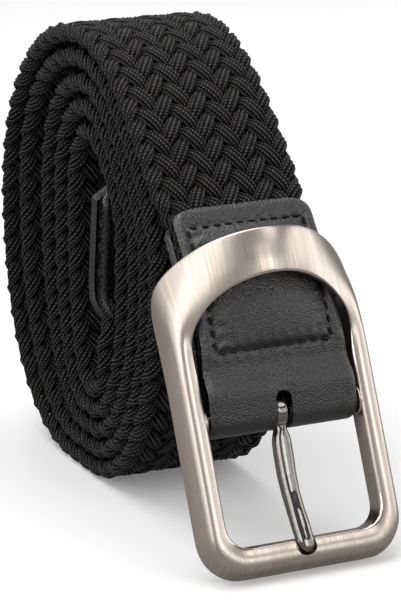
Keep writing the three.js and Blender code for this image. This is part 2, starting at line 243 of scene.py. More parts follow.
def strapPath():
    half, pitch = strap["thick"] / 2, strap["thick"] + strap["gap"]
    run = [onBuckle(v, n) for v, n in tabRun]
    mouth, before = np.array(run[3]), np.array(run[2])
    pull = mouth + 17 * (mouth - before) / np.linalg.norm(mouth - before)
    legs = [bezier(run)]
    base = None
    for k, turn in enumerate(turns):
        top = (turn["topY"], strap["height"] - half - k * pitch - strap["looseTop"] * turn["top"])
        backY = strap["back"] - half - k * pitch - strap["looseBack"] * turn["back"]
        baseZ = half + k * pitch
        if k == 0:
            legs.append(bezier([mouth, pull, (top[0] - 20, top[1]), top]))
        else:
            frontY = -strap["front"] + half + (k - 1) * pitch + strap["looseFront"] * turn["front"]
            legs.append(quarterTurn(base, (frontY, turn["foot"]), turn["kFoot"], turn["kFoot"], False))
            legs.append(quarterTurn((frontY, turn["neck"]), top, *turn["kTop"], True))
        legs.append(quarterTurn(top, (backY, turn["head"]), 0.56, turn["kBack"], False))
        legs.append(quarterTurn((backY, 57), (turn["heel"], baseZ), *turn["kLow"], True))
        base = (turn["toe"], baseZ) if turn["toe"] < turn["heel"] - 0.5 else (turn["heel"], baseZ)
        legs.append(np.array([base]))
    legs.append(quarterTurn(base, (riseY, base[1] + 6), 0.6, 0.5, False))
    start, end = tipBend["start"], tipBend["end"]
    legs.append(bezier([start, (start[0] - 0.2, 41), (end[0] - 0.2, 42), end]))
    legs.append(np.array([tipLean]))
    points = np.vstack(legs)
    keep = np.r_[True, np.hypot(*np.diff(points, axis=0).T) > 0.01]
    points = points[keep]
    length = np.r_[0, np.cumsum(np.hypot(*np.diff(points, axis=0).T))]
    step = np.arange(0, length[-1], 0.25)
    fine = np.c_[np.interp(step, length, points[:, 0]), np.interp(step, length, points[:, 1])]
    way = np.gradient(fine, axis=0)
    window = np.ones(7) / 7
    way = np.c_[np.convolve(way[:, 0], window, "same"), np.convolve(way[:, 1], window, "same")]
    way /= np.linalg.norm(way, axis=1)[:, None]
    return step, fine, way


pathStep, pathPoint, pathWay = strapPath()
strapLength = float(pathStep[-1])
print("belt: strap path %.0f mm" % strapLength)


def alongStrap(s):
    y = np.interp(s, pathStep, pathPoint[:, 0])
    z = np.interp(s, pathStep, pathPoint[:, 1])
    ty = np.interp(s, pathStep, pathWay[:, 0])
    tz = np.interp(s, pathStep, pathWay[:, 1])
    size = np.hypot(ty, tz)
    return y, z, ty / size, tz / size


braid = {
    "cords": 17, "rowPitch": 6.15, "reach": 18.1, "round": 1.8, "cordWide": 3.6, "cordThick": 2.3,
    "rise": 1.15, "ringStep": 1.25, "pieces": 6, "stitchPitch": 0.7, "ribs": 8,
    "turnOver": 1.2,        # crossings on each side of an edge in which a cord rolls over it
    "tuck": 0.89,           # share of the width that is left inside the tab and the tip
    # a quarter of the cord's ribbed section
    "section": [(1, 0), (0.86, 0.6), (0.62, 0.92), (0.33, 0.74), (0, 1)],
}


def cordCentre(tau):
    # place across the band, and height from -1 under to 1 over, for a cord; tau counts crossings
    count = braid["cords"]
    half = count / 2
    t = np.mod(tau + half, 2 * count) - half
    slope = braid["reach"] / half
    q = np.where(t <= half, t, 2 * half - t)
    x = slope * q
    w = braid["round"]
    for turnAt, sign in ((half, 1), (-half, -1), (3 * half, -1)):
        d = np.abs(t - turnAt)
        x = np.where(d < w / 2, sign * (braid["reach"] - slope * (d * d / w + w / 4)), x)
    # over two and under two, quickened where the cord turns over at an edge
    phase = np.where(t <= half - 1, t, t + 1)
    phase = np.where((t > half - 1) & (t < half + 1), half - 1 + 1.5 * (t - half + 1), phase)
    phase = np.where(t > 3 * half - 1, 3 * half + 1.5 * (t - 3 * half + 1), phase)
    phase = np.where(t < -half + 1, -half + 1 - 1.5 * (-half + 1 - t), phase)
    lift = np.clip(1.3 * np.cos(phase * math.pi / 2), -1, 1)
    step = lambda at: np.clip((t - at) / braid["turnOver"], -1, 1)
    roll = sum(math.pi / 2 * (1 + np.sin(step(at) * math.pi / 2)) for at in (-half, half, 3 * half))
    return x, lift, roll


def cordSection():
    quarter = np.array(braid["section"], float)
    top = np.vstack([quarter, quarter[-2::-1] * (-1, 1)])
    return np.vstack([top, top[-2:0:-1] * (1, -1)]) * (braid["cordWide"] / 2, braid["cordThick"] / 2)


def cordRows(index):
    perTau = braid["rowPitch"] / 2
    start = index * braid["rowPitch"]
    stretch = math.hypot(1, (braid["reach"] / (braid["cords"] / 2)) / perTau)
    count = int(strapLength * stretch / braid["ringStep"])
    s = np.linspace(0.2, strapLength - 0.2, count)
    tau = (s - start) / perTau
    x, lift, roll = cordCentre(tau)
    tucked = braid["tuck"]
    x = x * np.interp(s, [30, 38, strapLength - 36, strapLength - 28], [tucked, 1, 1, tucked])
    near = np.maximum(0, np.abs(x) - 12.5) / 4          # the edges are a little thinner
    h = braid["rise"] * lift * (1 - 0.18 * near)
    y, z, ty, tz = alongStrap(s)
    ny, nz = -tz, ty
    centre = np.c_[x, y + ny * h, z + nz * h]
    tangent = np.gradient(centre, axis=0)
    tangent /= np.linalg.norm(tangent, axis=1)[:, None]
    # the flat of the cord faces out of the band, and rolls over with it at the edges
    normal = np.c_[np.sin(roll), ny * np.cos(roll), nz * np.cos(roll)]
    side = np.cross(tangent, normal)
    side /= np.linalg.norm(side, axis=1)[:, None]
    normal = np.cross(side, tangent)
    across, high = cordSection().T
    swell = (0.82 + 0.18 * np.abs(lift) ** 1.5)[:, None, None]      # pinched where it dives under a neighbour
    outline = side[:, None] * across[None, :, None] + normal[:, None] * high[None, :, None]
    rows = centre[:, None] + outline * swell
    travelled = np.r_[0, np.cumsum(np.linalg.norm(np.diff(centre, axis=0), axis=1))]
    return rows, travelled


def tubesMesh(name, tubes):
    verts, faces, uvs = [], [], []
    offset = 0
    for rows, travelled in tubes:
        rings, size, _ = rows.shape
        verts.append(rows.reshape(-1, 3) * mm)
        ring = np.arange(rings - 1)[:, None] * size
        a = ring + np.arange(size)[None]
        b = ring + (np.arange(size)[None] + 1) % size
        quad = np.stack([a, b, b + size, a + size], axis=-1) + offset
        faces.append(quad.reshape(-1, 4))
        u = travelled[:-1, None] + 0 * a
        u2 = travelled[1:, None] + 0 * a
        v = np.broadcast_to(np.arange(size)[None] / size, a.shape)
        v2 = v + 1 / size
        uvs.append(np.stack([np.stack([u, v], -1), np.stack([u, v2], -1), np.stack([u2, v2], -1),
                             np.stack([u2, v], -1)], axis=2).reshape(-1, 2))
        offset += rings * size
    verts, faces, uvs = np.vstack(verts), np.vstack(faces), np.vstack(uvs)
    mesh = bpy.data.meshes.new(name)
    mesh.vertices.add(len(verts))
    mesh.vertices.foreach_set("co", verts.ravel())
    mesh.loops.add(4 * len(faces))
    mesh.loops.foreach_set("vertex_index", faces.ravel())
    mesh.polygons.add(len(faces))
    mesh.polygons.foreach_set("loop_start", np.arange(0, 4 * len(faces), 4))
    mesh.polygons.foreach_set("loop_total", np.full(len(faces), 4))
    mesh.uv_layers.new(name="cord_uv").data.foreach_set("uv", uvs.ravel())
    mesh.update(calc_edges=True)
    mesh.polygons.foreach_set("use_smooth", np.ones(len(faces), bool))
    return mesh


braidPieces = []
groups = np.array_split(np.arange(braid["cords"]), braid["pieces"])
for k in range(braid["pieces"]):
    tubes = [cordRows(int(i)) for i in groups[k]]
    mesh = tubesMesh("braid_cords_%d" % (k + 1), tubes)
    obj = bpy.data.objects.new("braid_cords_%d" % (k + 1), mesh)
    bpy.context.collection.objects.link(obj)
    selectOnly(obj)
    bpy.ops.object.mode_set(mode="EDIT")
    bpy.ops.mesh.select_all(action="SELECT")
    bpy.ops.mesh.fill_holes(sides=4 * (len(braid["section"]) - 1))
    bpy.ops.mesh.normals_make_consistent(inside=False)
    bpy.ops.object.mode_set(mode="OBJECT")
    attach(obj, "belt")
    braidPieces.append(obj)
for obj in braidPieces:
    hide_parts("braided_strap")
print("belt: braid of %d cords, %d faces" % (braid["cords"], sum(len(o.data.polygons) for o in braidPieces)))


# leather sheets
def smoothLine(points, spacing=0.25, window=7):
    points = np.array(points, float)
    length = np.r_[0, np.cumsum(np.linalg.norm(np.diff(points, axis=0), axis=1))]
    at = np.linspace(0, length[-1], int(length[-1] / spacing) + 2)
    fine = np.stack([np.interp(at, length, points[:, k]) for k in range(points.shape[1])], 1)
    before, after = 2 * fine[0] - fine[1:window + 1][::-1], 2 * fine[-1] - fine[-window - 1:-1][::-1]
    padded = np.vstack([before, fine, after])
    kernel = np.hanning(2 * window + 3)[1:-1]
    kernel /= kernel.sum()
    soft = np.stack([np.convolve(padded[:, k], kernel, "same") for k in range(points.shape[1])], 1)
    soft = soft[window:-window]
    length = np.r_[0, np.cumsum(np.linalg.norm(np.diff(soft, axis=0), axis=1))]
    return length, soft


def sheetPlace(line, outSign=1.0):
    # place and outward normal along a smoothed line in the Y-Z plane
    length, points = line
    way = np.gradient(points, axis=0)
    way /= np.linalg.norm(way, axis=1)[:, None]
    normal = np.c_[-way[:, 1], way[:, 0]] * outSign

    def at(d):
        place = np.array([np.interp(d, length, points[:, 0]), np.interp(d, length, points[:, 1])])
        out = np.array([np.interp(d, length, normal[:, 0]), np.interp(d, length, normal[:, 1])])
        return place, out / np.linalg.norm(out, axis=0)
    return length[-1], at


def roundedHalf(half, corner, distance):
    d = np.maximum(corner - distance, 0)
    return half - corner + np.sqrt(np.maximum(corner * corner - d * d, 0))


def leatherSheet(name, total, at, halfAt, reliefAt, columns, rowCount, thick, cut=None):
    # a grid shaped onto the line, thickened inwards, its edges rounded
    bpy.ops.object.select_all(action="DESELECT")
    bpy.ops.mesh.primitive_grid_add(x_subdivisions=columns, y_subdivisions=rowCount, size=2)
    sheet = bpy.context.active_object
    sheet.name = name
    mesh = sheet.data
    co = vertexPlaces(sheet)
    across, d = co[:, 0], (co[:, 1] + 1) / 2 * total
    x = across * halfAt(d)
    if cut is not None:   # points next to the hole are drawn onto its outline
        away = cut(x, d)
        slopeX = (cut(x + 0.01, d) - cut(x - 0.01, d)) / 0.02
        slopeD = (cut(x, d + 0.01) - cut(x, d - 0.01)) / 0.02
        near = np.abs(away) < 0.27
        x = np.where(near, x - slopeX * away, x)
        d = np.where(near, d - slopeD * away, d)
    place, out = at(d)
    relief = reliefAt(x, d)
    shaped = np.c_[x, place[0] + out[0] * relief, place[1] + out[1] * relief] * mm
    mesh.vertices.foreach_set("co", shaped.ravel())
    uv = np.c_[x, d]
    loops = np.empty(len(mesh.loops), int)
    mesh.loops.foreach_get("vertex_index", loops)
    layer = mesh.uv_layers[0] if mesh.uv_layers else mesh.uv_layers.new(name="UVMap")
    layer.name = "leather_uv"
    layer.data.foreach_set("uv", uv[loops].ravel())
    mesh.update()
    selectOnly(sheet)
    if cut is not None:
        corners = np.array([list(face.vertices) for face in mesh.polygons])
        gone = cut(x[corners].mean(axis=1), d[corners].mean(axis=1)) < 0
        for face, drop in zip(mesh.polygons, gone):
            face.select = bool(drop)
        bpy.context.tool_settings.mesh_select_mode = (False, False, True)
        bpy.ops.object.mode_set(mode="EDIT")
        bpy.ops.mesh.delete(type="FACE")
        bpy.ops.object.mode_set(mode="OBJECT")
    # the outer side faces out of the sheet
    face = mesh.polygons[len(mesh.polygons) // 3]
    _, out = at((co[list(face.vertices)][:, 1].mean() + 1) / 2 * total)
    if face.normal.y * out[0] + face.normal.z * out[1] < 0:
        bpy.ops.object.mode_set(mode="EDIT")
        bpy.ops.mesh.select_all(action="SELECT")
        bpy.ops.mesh.flip_normals()
        bpy.ops.object.mode_set(mode="OBJECT")
    applyModifier(sheet, "thickness", "SOLIDIFY", thickness=thick * mm, offset=-1, use_even_offset=False)
    applyModifier(sheet, "edges", "BEVEL", width=0.32 * mm, segments=3, limit_method="ANGLE",
                  angle_limit=math.radians(50))
    bpy.ops.object.shade_smooth()
    return sheet


tab = {
    "leather": 1.6, "gap": 0.3, "topHalf": 17.0, "foldHalf": 18.0, "corner": 4.0, "pin": 1.9, "pinGap": 0.5,
    "slotHalf": 1.95, "rowTop": 4.9, "rowLow": 33.8, "columnAt": 14.2, "puff": 2.3, "groove": 0.6,
    "grooveWide": 0.8, "stitchPitch": 3.0, "pucker": 0.2,
    "dip": [(-10.6, 3.7), (-8.2, 4.2), (-6, 5.1), (-4, 5.05), (-2, 4.55)],     # (v, n) of the front above the fold
}


def tabLine():
    outer = strap["thick"] / 2 + tab["gap"] + tab["leather"]
    run = bezier([onBuckle(v, n) for v, n in tabRun], 40)
    way = np.gradient(run, axis=0)
    way /= np.linalg.norm(way, axis=1)[:, None]
    side = np.c_[-way[:, 1], way[:, 0]]
    front = (run + side * outer)[::-1]
    back = run - side * outer
    radius = tab["pin"] + tab["pinGap"] + tab["leather"]
    fold = [onBuckle(radius * math.cos(a), radius * math.sin(a)) for a in np.radians(np.arange(82, -83, -8))]
    dip = [onBuckle(v, n) for v, n in tab["dip"]]
    rear = [onBuckle(-5.5, -radius)]
    points = np.vstack([front[:-1], dip, fold, rear, back[1:]])
    return smoothLine(points, window=6)


tabTotal, tabAt = sheetPlace(tabLine(), outSign=1.0)
_, probeOut = tabAt(np.array([10.0]))
if probeOut[0][0] > 0:   # the front leather faces the buckle
    tabTotal, tabAt = sheetPlace(tabLine(), outSign=-1.0)
frontLength = 46.0
foldStart = frontLength - 4


def tabHalf(d):
    ends = np.minimum(d, tabTotal - d)
    blend = np.clip((ends - 20) / (frontLength - 20), 0, 1)
    wide = tab["topHalf"] + (tab["foldHalf"] - tab["topHalf"]) * blend * blend * (3 - 2 * blend)
    return roundedHalf(wide, tab["corner"], ends)


def sewnRelief(x, d, top, low, column, setup):
    # raised between the stitches, sunk along them
    wideways = np.cos(np.clip(x / column, -1, 1) * math.pi / 2) ** 0.7
    inside = np.clip((d - top) / (low - top), 0, 1)
    relief = setup["puff"] * wideways * np.sin(inside ** 1.15 * math.pi) ** 0.6
    w = setup["grooveWide"]
    onRows = (np.abs(x) < column + 0.4)
    onColumns = (d > top - 0.4) & (d < low + 0.4)
    rows = np.exp(-((d - top) / w) ** 2) + np.exp(-((d - low) / w) ** 2)
    columns = np.exp(-((np.abs(x) - column) / w) ** 2)
    holes = 0.75 + 0.25 * np.cos(2 * math.pi * x / setup["stitchPitch"])
    holesUp = 0.75 + 0.25 * np.cos(2 * math.pi * (d - top) / setup["stitchPitch"])
    groove = np.maximum(rows * onRows * holes, 0.7 * columns * onColumns * holesUp)
    relief -= setup["groove"] * groove
    near = np.exp(-((np.abs(x) - column + 1.6) / 1.5) ** 2) * onColumns
    ripple = np.sin(2 * math.pi * (d - top) / setup["stitchPitch"] + 0.6 * np.sin(x))
    relief += setup["pucker"] * near * ripple
    nearLow = np.exp(-((d - low + 1.6) / 1.3) ** 2) * onRows
    nearLow = nearLow + 0.6 * np.exp(-((d - low - 1.4) / 1.2) ** 2) * onRows
    relief += 0.8 * setup["pucker"] * nearLow * np.sin(2 * math.pi * x / setup["stitchPitch"] + 1.1)
    return relief


def tabRelief(x, d):
    ends = np.minimum(d, tabTotal - d)
    front = d < tabTotal / 2
    relief = sewnRelief(x, ends, tab["rowTop"], tab["rowLow"], tab["columnAt"], tab) * np.where(front, 1, 0.6)
    rim = np.clip((tabHalf(d) - np.abs(x)) / 1.6, 0, 1)
    rimEnd = np.clip(ends / 1.4, 0, 1)
    relief -= 0.75 * (1 - np.sin(rim * math.pi / 2)) + 0.5 * (1 - np.sin(rimEnd * math.pi / 2))
    # pressed in above the slot
    relief -= 0.45 * np.exp(-((x + 0.3) / 2.2) ** 2 - ((ends - foldStart) / 2.5) ** 2) * front
    slow = 0.12 * np.sin(0.21 * x + 1.3) * np.sin(0.13 * ends + 0.4) * np.clip((foldStart - ends) / 6, 0, 1)
    return relief + slow


def slotDistance(x, d):
    # distance outside the slot, a long hole with round ends from below the ridge to behind the fold
    half = tab["slotHalf"]
    top, low = foldStart + 2.0 + half, tabTotal - foldStart - 1.0 - half
    over = np.maximum(np.maximum(top - d, d - low), 0)
    return np.hypot(x + 0.25, over) - half


leatherTab = leatherSheet("leather_tab_sewn", tabTotal, tabAt, tabHalf, tabRelief, 84, 230, tab["leather"],
                          cut=slotDistance)
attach(leatherTab, "belt")
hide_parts("leather_tab")
print("belt: tab %.1f mm of leather, %d faces" % (tabTotal, len(leatherTab.data.polygons)))

# the leather tip
tip = {
    "leather": 1.6, "gap": 0.3, "length": 32.0, "corner": 8.0, "top": (-11.9, 76.8), "puff": 0.35,
    "groove": 0.4, "grooveWide": 0.65, "stitchPitch": 3.0, "pucker": 0.08,
    "taperAt": [0, 0.85, 2.45, 4.95, 7.45], "taperHalf": [3.5, 7.7, 11.9, 15.4, 17.5],      # from the point
}


def tipLine(sign):
    outer = sign * (strap["thick"] / 2 + tip["gap"] + tip["leather"])
    s = np.linspace(strapLength - tip["length"], strapLength - 0.3, 60)
    y, z, ty, tz = alongStrap(s)
    points = np.c_[y - tz * outer, z + ty * outer]
    end, top = np.array(tipLean), np.array(tip["top"])
    way = top - end
    side = np.array([-way[1], way[0]]) / np.linalg.norm(way) * sign
    near = end + 0.45 * way + side * (tip["leather"] - 0.05)
    return smoothLine(np.vstack([points, [near], [top + side * (tip["leather"] - 0.05)]]), window=6)


tipPieces = []
for label, sign in (("front", 1), ("back", -1)):
    total, at = sheetPlace(tipLine(sign), outSign=float(sign))

    def tipHalf(d, total=total):
        taper = np.interp(total - d, tip["taperAt"], tip["taperHalf"])
        return np.minimum(roundedHalf(strap["width"] / 2, tip["corner"], d), taper)

    def tipRelief(x, d, total=total):
        relief = sewnRelief(x, d, 3.2, total - 5.5, 14.6, tip)
        rim = np.clip((tipHalf(d) - np.abs(x)) / 1.2, 0, 1)
        return relief - 0.45 * (1 - np.sin(rim * math.pi / 2))

    layer = leatherSheet("leather_tip_" + label, total, at, tipHalf, tipRelief, 60, 90, tip["leather"])
    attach(layer, "belt")
    tipPieces.append(layer)
for layer in tipPieces:
    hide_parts("leather_tip")
print("belt: leather tip")


# stitches
def threadStitch(a, b, out, radius=0.34, sink=0.42):
    # one stitch from a to b in mm, lying on the leather and diving at both ends
    a, b, out = np.array(a), np.array(b), np.array(out)
    count, sides = 7, 6
    t = np.linspace(0, 1, count)
    arch = np.sin(t * math.pi) ** 0.5
    lift = arch * (radius + 0.1) - sink * (1 - arch)
    centre = a[None] + (b - a)[None] * t[:, None] + out[None] * lift[:, None]
    way = (b - a) / np.linalg.norm(b - a)
    side = np.cross(way, out)
    angle = np.arange(sides) / sides * 2 * math.pi
    ring = side[None] * np.cos(angle)[:, None] + out[None] * np.sin(angle)[:, None]
    thin = radius * (0.7 + 0.3 * np.sin(t * math.pi))
    rows = centre[:, None] + ring[None] * thin[:, None, None]
    return rows, np.linalg.norm(b - a) * t


def stitchRun(spots, pitch, share=0.8):
    # stitches along a polyline of places and outward directions
    points, outs = (np.array(part) for part in zip(*spots))
    length = np.r_[0, np.cumsum(np.linalg.norm(np.diff(points, axis=0), axis=1))]
    count = max(1, int(round(length[-1] / pitch)))
    made = []
    for k in range(count):
        a, b = (k + 0.5 - share / 2) / count * length[-1], (k + 0.5 + share / 2) / count * length[-1]
        ends = [np.array([np.interp(v, length, points[:, j]) for j in range(3)]) for v in (a, b)]
        out = np.array([np.interp((a + b) / 2, length, outs[:, j]) for j in range(3)])
        made.append(threadStitch(ends[0], ends[1], out / np.linalg.norm(out)))
    return made


def sewnBox(at, reliefAt, top, low, column, pitch):
    # places along the stitch rectangle of a sheet
    def spot(x, d):
        place, out = at(np.array([d]))
        lift = reliefAt(np.array([x]), np.array([d]))[0]
        outY, outZ = out[0][0], out[1][0]
        return np.array([x, place[0][0] + outY * lift, place[1][0] + outZ * lift]), np.array([0, outY, outZ])

    made = []
    rowsX = np.linspace(-column, column, 30)
    for d in (top, low):
        made += stitchRun([spot(x, d) for x in rowsX], pitch)
    for x in (-column, column):
        made += stitchRun([spot(x, d) for d in np.linspace(top, low, 40)], pitch)
    return made


threads = sewnBox(tabAt, tabRelief, tab["rowTop"], tab["rowLow"], tab["columnAt"], tab["stitchPitch"])
threads += sewnBox(tabAt, tabRelief, tabTotal - tab["rowLow"], tabTotal - tab["rowTop"], tab["columnAt"],
                   tab["stitchPitch"])
threadMesh = tubesMesh("tab_stitches", threads)
tabStitches = bpy.data.objects.new("tab_stitches", threadMesh)
bpy.context.collection.objects.link(tabStitches)
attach(tabStitches, "belt")
print("belt: %d stitches on the tab" % len(threads))

# the buckle ring
ring = {
    "outerHalf": 25.2, "creaseHalf": 23.05, "innerHalf": 18.5, "outerLow": 35.4, "creaseLow": 33.8,
    "innerLow": 28.1, "cornerOut": 9.5, "back": -1.25, "front": 3.6, "plate": 1.9, "rimWide": 0.8,
    "lugRadius": 3.7, "lugAt": 20.4, "lugHalf": 3.6,
    "notchAt": (-1.0, 30.2, 4.3), "notchHalf": (2.5, 2.1, 2.7), "notchRun": 3.2,
}
pointNames = ("edge", "crease", "dome", "lip", "heel", "under")


def barPoints(place):
    r = ring
    return {
        "edge": place(r["outerHalf"], r["outerLow"], r["cornerOut"], r["back"]),
        "crease": place(r["creaseHalf"], r["creaseLow"], 8, r["front"]),
        "dome": place((r["creaseHalf"] + r["innerHalf"]) / 2 + 0.3, (r["creaseLow"] + r["innerLow"]) / 2 + 0.2,
                      6.5, r["front"] + 0.7),
        "lip": place(r["innerHalf"] + 0.45, r["innerLow"] + 0.4, 5, r["front"] - 0.2),
        "heel": place(r["innerHalf"], r["innerLow"], 5, r["back"]),
        "under": place(r["outerHalf"] - 1.6, r["outerLow"] - 1.6, 8, r["back"]),
    }


def ringRows():
    r = ring
    rows = []
    straight = r["outerHalf"] - r["cornerOut"]
    for u in np.linspace(0, straight, 9)[:-1]:
        rows.append(barPoints(lambda half, low, radius, n, u=u: np.array(
            [u * (half - radius) / straight, low, n])))
    for a in np.linspace(0, math.pi / 2, 17):
        rows.append(barPoints(lambda half, low, radius, n, a=a: np.array(
            [half - radius * (1 - math.sin(a)), low - radius * (1 - math.cos(a)), n])))
    for v in np.linspace(24, -10, 18):
        rows.append(barPoints(lambda half, low, radius, n, v=v: np.array(
            [half, min(v, low - radius), n])))
    last = rows[-1]
    edgeEnd = np.array([r["outerHalf"] - 0.4, -30.0, -3.6])
    lipEnd = np.array([r["innerHalf"] + 1.2, -18.2, 4.9])
    edgeRun = (last["edge"], (r["outerHalf"], -16, -1.3), (r["outerHalf"], -24, -3.2), edgeEnd)
    lipRun = (last["lip"], (r["innerHalf"] + 0.45, -13, 3.5), (r["innerHalf"] + 1.3, -15.5, 3.7), lipEnd)
    edgeArch = (edgeEnd, (17.8, -39.4, 5.4), (8.3, -39.7, 12.4), (0, -39.7, 12.4))
    lipArch = (lipEnd, (14.9, -28.8, 7.6), (4.6, -29.1, 13.0), (0, -29.1, 13.0))

    def blendRow(edge, lip, share):
        across = lip - edge
        radial = np.array([(edge[0] + lip[0]) / 2, (edge[1] + lip[1]) / 2 + 4, 0])
        radial /= np.linalg.norm(radial)
        face = radial * 0.55 + np.array([0, 0, 1])
        face = face - across * face.dot(across) / across.dot(across)
        face /= np.linalg.norm(face)
        at = lambda t, rise: edge + across * t + face * rise
        arch = {"edge": edge, "crease": at(0.3, 0.35), "dome": at(0.72, 0.4), "lip": lip,
                "heel": at(0.94, -r["plate"]), "under": at(0.06, -r["plate"] * 0.7)}
        side = {
            "edge": edge,
            "crease": np.array([edge[0] - r["outerHalf"] + r["creaseHalf"], (edge[1] + lip[1]) / 2,
                                lip[2] + 0.2]),
            "dome": np.array([(edge[0] + lip[0]) / 2 - 0.75, (edge[1] + 2 * lip[1]) / 3, lip[2] + 0.9]),
            "lip": lip,
            "heel": np.array([r["innerHalf"], (edge[1] + 2 * lip[1]) / 3, r["back"]]),
            "under": np.array([r["outerHalf"] - 1.6, edge[1], edge[2]]),
        }
        return {name: side[name] + (arch[name] - side[name]) * share for name in pointNames}

    curves = [(edgeRun, lipRun, t) for t in np.linspace(0, 1, 13)[1:]]
    curves += [(edgeArch, lipArch, t) for t in np.linspace(0, 1, 33)[1:]]
    for k, (edgeCurve, lipCurve, t) in enumerate(curves):
        p = min(1.0, (k + 1) / 26)
        rows.append(blendRow(bezierAt(edgeCurve, t), bezierAt(lipCurve, t), p * p * (3 - 2 * p)))
    half = {name: np.array([row[name] for row in rows]) for name in pointNames}
    whole = {}
    for name in pointNames:
        p = half[name]
        loop = np.vstack([p, p[1:-1][::-1] * np.array([-1, 1, 1])])
        for step in range(14):   # the whole ring is eased a little, the arch more
            soft = (np.roll(loop, 1, 0) + 2 * loop + np.roll(loop, -1, 0)) / 4
            share = 1.0 if step < 3 else np.clip((-4 - loop[:, 1:2]) / 8, 0, 1)
            loop = loop + (soft - loop) * share
        whole[name] = loop
    return whole


def roundedSection(points, radii, perCorner=5):
    # a closed section whose corners are rounded, points (k, 3)
    k = len(points)
    out = []
    for i in range(k):
        p, before, after = points[i], points[i - 1], points[(i + 1) % k]
        a, b = before - p, after - p
        la, lb = np.linalg.norm(a), np.linalg.norm(b)
        reach = min(radii[i], 0.48 * la, 0.48 * lb)
        start, end = p + a / la * reach, p + b / lb * reach
        for t in np.linspace(0, 1, perCorner):
            out.append((1 - t) ** 2 * start + 2 * t * (1 - t) * p + t * t * end)
    return np.array(out)


loops = ringRows()
ringCount = len(loops["edge"])
radii = {"edge": 0.7, "crease": 1.9, "dome": 2.6, "lip": 0.75, "heel": 0.5, "under": 0.6}
sections = [roundedSection([loops[name][i] for name in pointNames], [radii[name] for name in pointNames])
            for i in range(ringCount)]
bpy.ops.object.select_all(action="DESELECT")
bpy.ops.mesh.primitive_torus_add(major_segments=ringCount, minor_segments=len(sections[0]), major_radius=0.03,
                                 minor_radius=0.004)
buckleRing = bpy.context.active_object
buckleRing.name = "buckle_ring"


def toPart(points):
    u, v, n = points[..., 0], points[..., 1], points[..., 2]
    y, z = onBuckle(v, n)
    return np.stack([u, y, z], -1) * mm


setPlaces(buckleRing, toPart(np.array(sections)))


def finishMetal(obj, smoothAngle=40):
    selectOnly(obj)
    bpy.ops.object.mode_set(mode="EDIT")
    bpy.ops.mesh.select_all(action="SELECT")
    bpy.ops.mesh.remove_doubles(threshold=0.00001)
    bpy.ops.mesh.normals_make_consistent(inside=False)
    bpy.ops.object.mode_set(mode="OBJECT")
    bpy.ops.object.shade_smooth_by_angle(angle=math.radians(smoothAngle))


finishMetal(buckleRing, 50)


def combine(target, other, operation):
    applyModifier(target, "combined", "BOOLEAN", operation=operation, solver="EXACT", object=other)
    bpy.data.objects.remove(other)


# the notch that the prong lies in: a short trough with a round floor and end
bpy.ops.object.select_all(action="DESELECT")
bpy.ops.mesh.primitive_uv_sphere_add(segments=32, ring_count=24, radius=1)
trough = bpy.context.active_object
co = vertexPlaces(trough)
co[:, 1] = np.where(co[:, 1] < 0, co[:, 1] * ring["notchRun"], co[:, 1])
shaped = co * ring["notchHalf"] + ring["notchAt"]
setPlaces(trough, toPart(shaped))
faceOut(trough)
combine(buckleRing, trough, "DIFFERENCE")
selectOnly(buckleRing)
bpy.ops.object.shade_smooth_by_angle(angle=math.radians(38))
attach(buckleRing, "buckle")
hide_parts("buckle_frame")

# lugs that hold the pin on the inner sides of the frame
for sign, label in ((1, "right"), (-1, "left")):
    bpy.ops.object.select_all(action="DESELECT")
    bpy.ops.mesh.primitive_cylinder_add(vertices=48, radius=1, depth=1)
    lug = bpy.context.active_object
    lug.name = "pin_lug_" + label
    co = vertexPlaces(lug)
    along = sign * (ring["lugAt"] + co[:, 2] * ring["lugHalf"])
    shaped = np.c_[along, co[:, 0] * ring["lugRadius"], co[:, 1] * ring["lugRadius"] - 0.1]
    setPlaces(lug, toPart(shaped))
    applyModifier(lug, "rim", "BEVEL", width=0.4 * mm, segments=4)
    finishMetal(lug)
    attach(lug, "buckle")
print("belt: buckle ring, %d faces" % len(buckleRing.data.polygons))

# pin and prong
pinBar = {"half": 20.6, "radius": tab["pin"]}
bpy.ops.object.select_all(action="DESELECT")
bpy.ops.mesh.primitive_cylinder_add(vertices=48, radius=1, depth=2)
pin = bpy.context.active_object
pin.name = "buckle_pin"
co = vertexPlaces(pin)
shaped = np.c_[co[:, 2] * pinBar["half"], co[:, 0] * pinBar["radius"], co[:, 1] * pinBar["radius"]]
setPlaces(pin, toPart(shaped))
applyModifier(pin, "ends", "BEVEL", width=0.3 * mm, segments=3)
finishMetal(pin)
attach(pin, "buckle")
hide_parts("bar_pin")

prong = {
    "side": -0.7, "bore": 2.3, "eye": 3.9, "eyeHalf": 1.4, "voxel": 0.13,
    # v along the prong, n out, lean to one side, half width, half height
    "rows": [
        (2.2, 0.4, 0.0, 1.45, 1.5), (4.2, 0.7, 0.0, 1.5, 1.6), (5.6, 0.75, -0.1, 2.0, 1.65),
        (7.0, 0.7, -0.15, 2.2, 1.75), (10.0, 0.65, -0.25, 2.25, 1.8), (14.0, 0.7, -0.4, 2.15, 1.85),
        (18.0, 1.0, -0.4, 2.05, 1.8), (22.0, 1.8, -0.35, 2.05, 1.7), (26.0, 2.85, -0.3, 2.15, 1.6), (29.0, 3.6, -0.3, 2.05, 1.5),
        (30.6, 3.8, -0.3, 1.7, 1.3), (31.5, 3.8, -0.3, 1.15, 0.9), (31.85, 3.75, -0.3, 0.35, 0.3),
    ],
}
bpy.ops.object.select_all(action="DESELECT")
shankRings, shankSides = 90, 32
bpy.ops.mesh.primitive_uv_sphere_add(segments=shankSides, ring_count=shankRings, radius=1)
shank = bpy.context.active_object
shank.name = "prong_polished"
co = vertexPlaces(shank)
table = np.array(prong["rows"])
polar = np.arccos(np.clip(co[:, 2], -1, 1)) / math.pi
v = table[0, 0] + (table[-1, 0] - table[0, 0]) * polar
